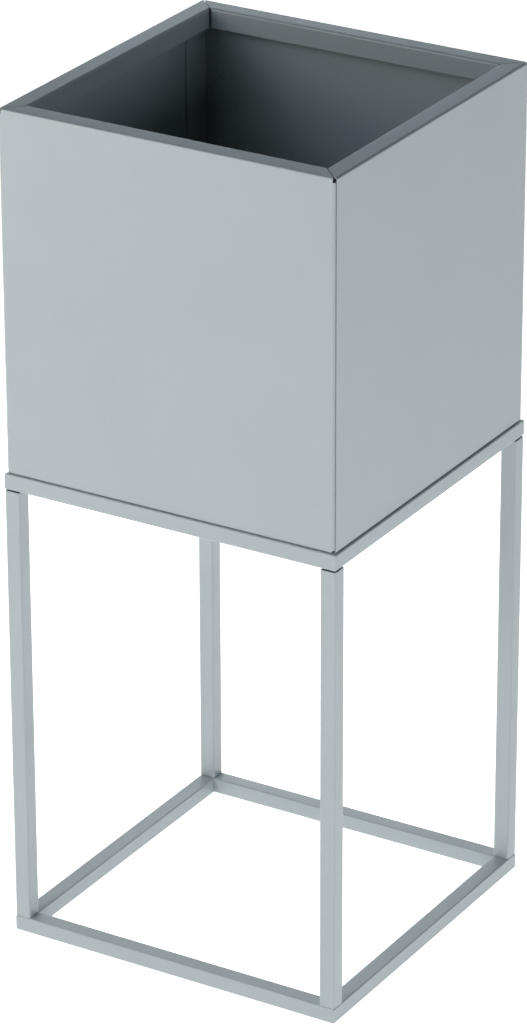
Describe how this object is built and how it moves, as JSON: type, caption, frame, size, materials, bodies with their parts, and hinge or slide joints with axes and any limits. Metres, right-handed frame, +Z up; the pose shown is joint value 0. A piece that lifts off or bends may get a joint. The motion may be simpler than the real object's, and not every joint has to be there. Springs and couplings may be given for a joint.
{
  "type": "raised planter",
  "caption": "Square planter box of folded sheet steel with an inturned rim, raised on an open stand of square tube: two rings joined by legs.",
  "frame": {"origin": "on the floor, under the middle of the planter", "axes": "+Z up, -Y towards the front panel, +X to the right; the planter is square in plan"},
  "size_m": [0.44, 0.44, 1.0436],
  "materials": {
    "box_coat": "satin powder coat with fine orange peel, light blue-grey",
    "frame_coat": "satin powder coat with fine orange peel, light blue-grey",
    "zinc": "bright zinc plate",
    "seal": "matt black",
    "glide": "matt moulded"
  },
  "bodies": {
    "root": {"box_front_panel": "box_coat", "box_right_panel": "box_coat", "box_back_panel": "box_coat", "box_left_panel": "box_coat", "box_floor": "box_coat", "bottom_rail_front": "frame_coat", "bottom_rail_right": "frame_coat", "bottom_rail_back": "frame_coat", "bottom_rail_left": "frame_coat", "top_rail_front": "frame_coat", "top_rail_right": "frame_coat", "top_rail_back": "frame_coat", "top_rail_left": "frame_coat", "leg_front_left": "frame_coat", "leg_front_right": "frame_coat", "leg_back_left": "frame_coat", "leg_back_right": "frame_coat", "floor_screw_front_left": "zinc", "floor_screw_front_right": "zinc", "floor_screw_back_left": "zinc", "floor_screw_back_right": "zinc", "sealing_washer_front_left": "seal", "sealing_washer_front_right": "seal", "sealing_washer_back_left": "seal", "sealing_washer_back_right": "seal", "rivet_nut_front_left": "zinc", "rivet_nut_front_right": "zinc", "rivet_nut_back_left": "zinc", "rivet_nut_back_right": "zinc", "foot_glide_front_left": "glide", "foot_glide_front_right": "glide", "foot_glide_back_left": "glide", "foot_glide_back_right": "glide"}
  },
  "joints": []
}
